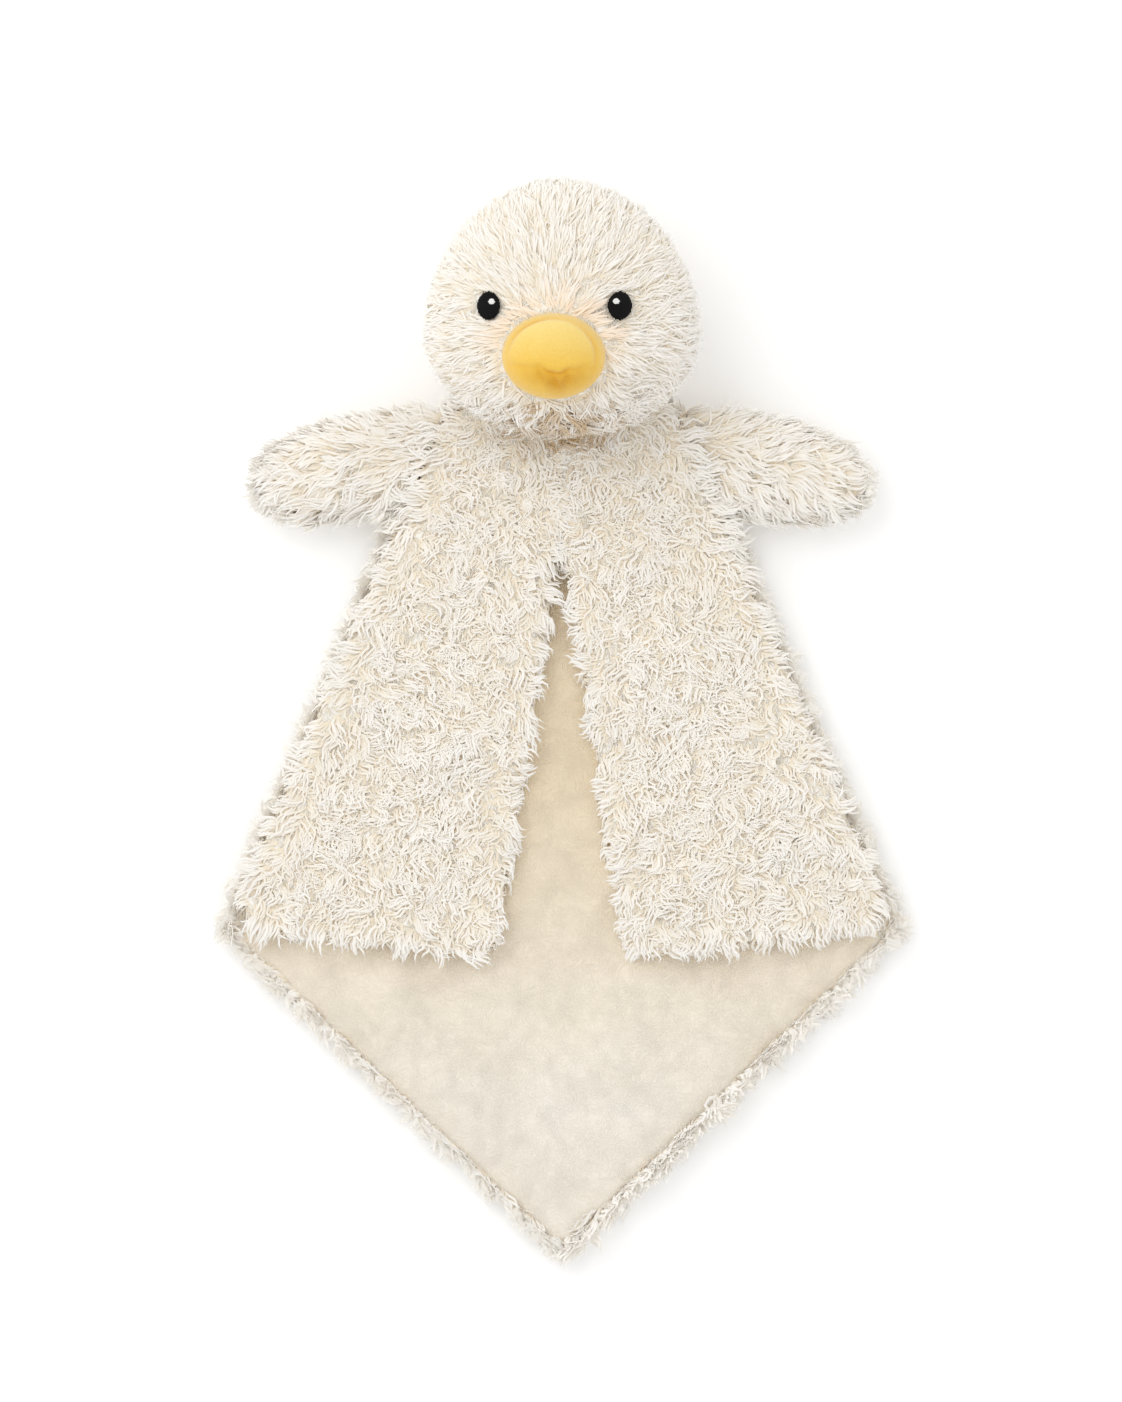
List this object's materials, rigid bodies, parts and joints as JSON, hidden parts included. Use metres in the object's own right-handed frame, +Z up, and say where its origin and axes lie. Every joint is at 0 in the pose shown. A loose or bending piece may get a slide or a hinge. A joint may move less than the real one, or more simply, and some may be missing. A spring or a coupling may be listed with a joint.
{
  "type": "comfort blanket lovey",
  "caption": "Plush duck comfort blanket lying on its back: stuffed head with a bill, stuffed wings, and a fur cape with a smooth lining folded to the front.",
  "frame": {"origin": "on the table below the neck, in the underside of the cape's back", "axes": "+Z up from the table through the face, +Y from the cape towards the head, +X to the toy's left wing, which is on the right as seen from above"},
  "size_m": [0.2254, 0.3547, 0.0884],
  "materials": {
    "cape_fur": "matte",
    "wing_fur": "matte",
    "head_fur": "matte",
    "lining": "matte",
    "beak_upper": "matte",
    "beak_lower": "matte",
    "eye_thread": "satin",
    "glint_thread": "satin",
    "stuffing": "matte"
  },
  "bodies": {
    "cape": {"cape_back_fur": "cape_fur", "cape_back_lining": "lining", "left_front_fur": "cape_fur", "left_front_lining": "lining", "right_front_fur": "cape_fur", "right_front_lining": "lining"},
    "head": {"face_left_panel": "head_fur", "face_right_panel": "head_fur", "head_back_panel": "head_fur", "head_stuffing": "stuffing", "beak_upper_panel": "beak_upper", "beak_lower_panel": "beak_lower", "beak_stuffing": "stuffing", "left_eye": "eye_thread", "left_eye_glint": "glint_thread", "right_eye": "eye_thread", "right_eye_glint": "glint_thread"},
    "left_wing": {"left_wing_top": "wing_fur", "left_wing_back": "wing_fur", "left_wing_stuffing": "stuffing"},
    "right_wing": {"right_wing_top": "wing_fur", "right_wing_back": "wing_fur", "right_wing_stuffing": "stuffing"},
    "left_corner": {"left_corner_fur": "cape_fur", "left_corner_lining": "lining"},
    "right_corner": {"right_corner_fur": "cape_fur", "right_corner_lining": "lining"},
    "point": {"cape_point_fur": "cape_fur", "cape_point_lining": "lining"}
  },
  "joints": [
    {"name": "head_nod", "type": "hinge", "parent": "cape", "child": "head", "pos_m": [0, 0.0011, 0.0182], "axis": [1, 0, 0], "range_deg": [0, 40]},
    {"name": "left_wing_lift", "type": "hinge", "parent": "cape", "child": "left_wing", "pos_m": [-0.05003, -0.013, 0.0183], "axis": [0.3916, 0.9201, 0], "range_deg": [0, 75]},
    {"name": "right_wing_lift", "type": "hinge", "parent": "cape", "child": "right_wing", "pos_m": [0.05003, -0.013, 0.0183], "axis": [0.3916, -0.9201, 0], "range_deg": [0, 75]},
    {"name": "left_corner_fold", "type": "hinge", "parent": "cape", "child": "left_corner", "pos_m": [-0.004, -0.058, 0.018], "axis": [-0.7167, -0.6974, 0], "range_deg": [0, 150]},
    {"name": "right_corner_fold", "type": "hinge", "parent": "cape", "child": "right_corner", "pos_m": [0.004, -0.058, 0.018], "axis": [-0.7167, 0.6974, 0], "range_deg": [0, 150]},
    {"name": "point_fold", "type": "hinge", "parent": "cape", "child": "point", "pos_m": [0, -0.19, 0.009], "axis": [-1, 0, 0], "range_deg": [0, 115]}
  ]
}
